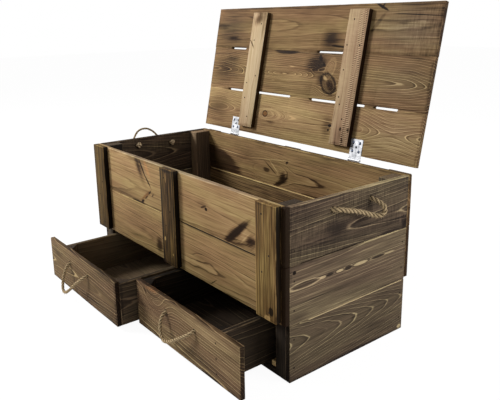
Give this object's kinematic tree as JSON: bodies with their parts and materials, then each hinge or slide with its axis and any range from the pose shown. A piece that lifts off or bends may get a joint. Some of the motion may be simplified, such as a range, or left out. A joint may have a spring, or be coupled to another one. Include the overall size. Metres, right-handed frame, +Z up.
{
  "type": "mule chest",
  "caption": "Rustic plank chest with a hinged lid over an open bin, battened walls, rope handles and drawers in the base.",
  "frame": {"origin": "centre of the base's underside, on the floor", "axes": "+X along the chest to the right, the front faces -Y, +Z up; lid open and drawers drawn out at rest"},
  "size_m": [1.099, 0.8153, 0.9123],
  "materials": {
    "end_planks": "dark stained pine, rubbed matt",
    "posts": "dark stained pine",
    "front_planks": "tan stained pine, rubbed matt",
    "back_planks": "stained pine",
    "front_battens": "brown stained pine",
    "back_battens": "brown stained pine",
    "bin_floor": "stained pine",
    "base": "stained pine, worn bare at the front",
    "hinge_zinc": "bright zinc plate",
    "screw_zinc": "zinc-plated screws",
    "lid_planks": "mid brown stained pine",
    "lid_batten_pale": "pale bare pine",
    "lid_batten_tan": "tan pine with nail holes",
    "drawer_fronts": "mid brown stained pine",
    "drawer_boxes": "brown stained pine",
    "rope": "twisted natural fibre"
  },
  "bodies": {
    "case": {"back_batten_left": "back_battens", "back_batten_middle": "back_battens", "back_batten_right": "back_battens", "back_plank_lower": "back_planks", "back_plank_upper": "back_planks", "base_boards": "base", "bay_back_board": "base", "bin_floor_bearers": "bin_floor", "bin_floor_board_back": "bin_floor", "bin_floor_board_front": "bin_floor", "bin_floor_board_middle": "bin_floor", "drawer_guide_strips": "base", "end_left_plank_bottom": "end_planks", "end_left_plank_middle": "end_planks", "end_left_plank_top": "end_planks", "end_right_plank_bottom": "end_planks", "end_right_plank_middle": "end_planks", "end_right_plank_top": "end_planks", "end_rope_knots": "rope", "end_rope_left": "rope", "end_rope_right": "rope", "front_batten_left": "front_battens", "front_batten_middle": "front_battens", "front_batten_right": "front_battens", "front_plank_lower": "front_planks", "front_plank_upper": "front_planks", "hinge_lower_leaf_left": "hinge_zinc", "hinge_lower_leaf_right": "hinge_zinc", "hinge_lower_screws": "screw_zinc", "hinge_pins": "hinge_zinc", "post_back_left": "posts", "post_back_right": "posts", "post_front_left": "posts", "post_front_right": "posts"},
    "lid": {"lid_plank_rear": "lid_planks", "lid_plank_middle": "lid_planks", "lid_plank_front": "lid_planks", "lid_batten_left": "lid_batten_pale", "lid_batten_right": "lid_batten_tan", "hinge_upper_leaf_left": "hinge_zinc", "hinge_upper_leaf_right": "hinge_zinc", "hinge_upper_screws": "screw_zinc"},
    "drawer_left": {"drawer_left_back": "drawer_boxes", "drawer_left_bottom": "drawer_boxes", "drawer_left_corner_blocks": "drawer_boxes", "drawer_left_front": "drawer_fronts", "drawer_left_rope": "rope", "drawer_left_rope_knots": "rope", "drawer_left_side_inner": "drawer_boxes", "drawer_left_side_outer": "drawer_boxes"},
    "drawer_right": {"drawer_right_back": "drawer_boxes", "drawer_right_bottom": "drawer_boxes", "drawer_right_corner_blocks": "drawer_boxes", "drawer_right_front": "drawer_fronts", "drawer_right_rope": "rope", "drawer_right_rope_knots": "rope", "drawer_right_side_inner": "drawer_boxes", "drawer_right_side_outer": "drawer_boxes"}
  },
  "joints": [
    {"name": "lid_hinge", "type": "hinge", "parent": "case", "child": "lid", "pos_m": [0, 0.2332, 0.459], "axis": [1, 0, 0], "range_deg": [0, 102.5]},
    {"name": "drawer_left_slide", "type": "slide", "parent": "case", "child": "drawer_left", "axis": [0, -1, 0], "range_m": [-0.1953, 0.1047]},
    {"name": "drawer_right_slide", "type": "slide", "parent": "case", "child": "drawer_right", "axis": [0, -1, 0], "range_m": [-0.1345, 0.1655]}
  ]
}
